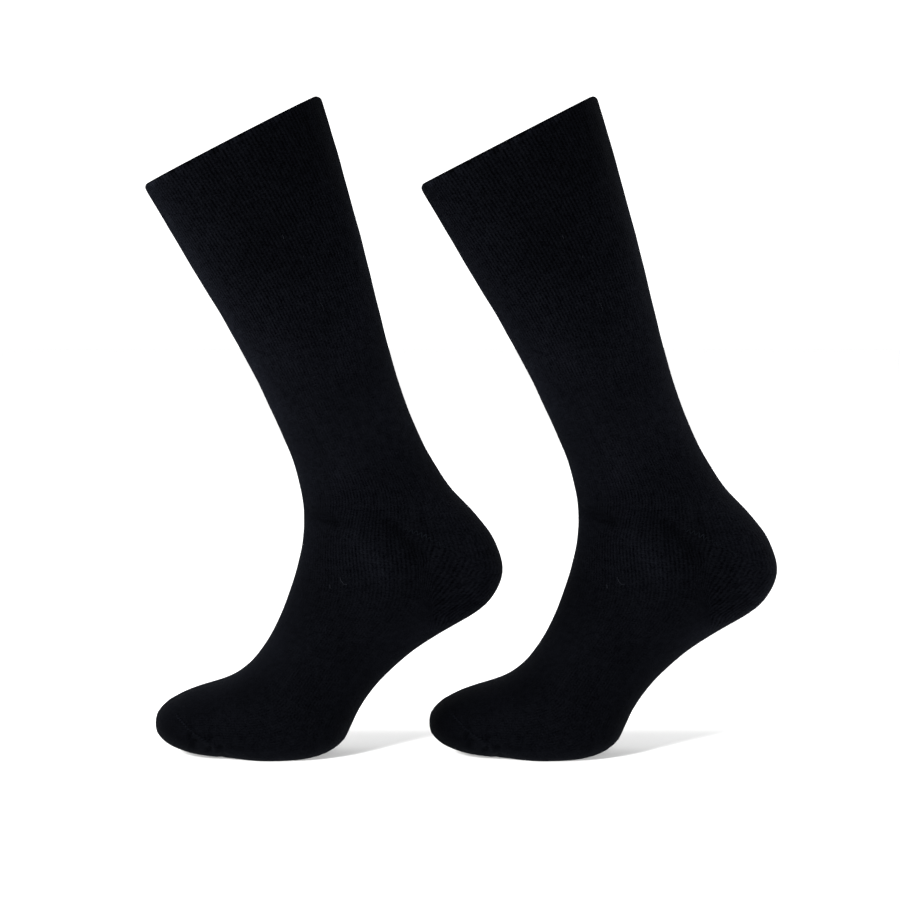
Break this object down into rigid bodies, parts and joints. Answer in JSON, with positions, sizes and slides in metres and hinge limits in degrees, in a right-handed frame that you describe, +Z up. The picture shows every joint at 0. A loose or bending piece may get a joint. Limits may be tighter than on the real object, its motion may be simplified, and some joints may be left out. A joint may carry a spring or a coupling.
{
  "type": "pair of socks",
  "caption": "Pair of calf-length knitted socks with ribbed cuffs, filled out hollow as on raised feet and standing on the balls, cuffs open.",
  "frame": {"origin": "on the floor, under the middle of the box round both socks", "axes": "+Z up, X along both feet with the toes towards -X and the heels towards +X, Y across the feet"},
  "size_m": [0.4103, 0.1006, 0.4289],
  "materials": {
    "black_knit": "matt fine knit in blue-black yarn, faint sheen at grazing angles"
  },
  "bodies": {
    "root": {"sock_left": "black_knit", "sock_right": "black_knit"}
  },
  "joints": []
}
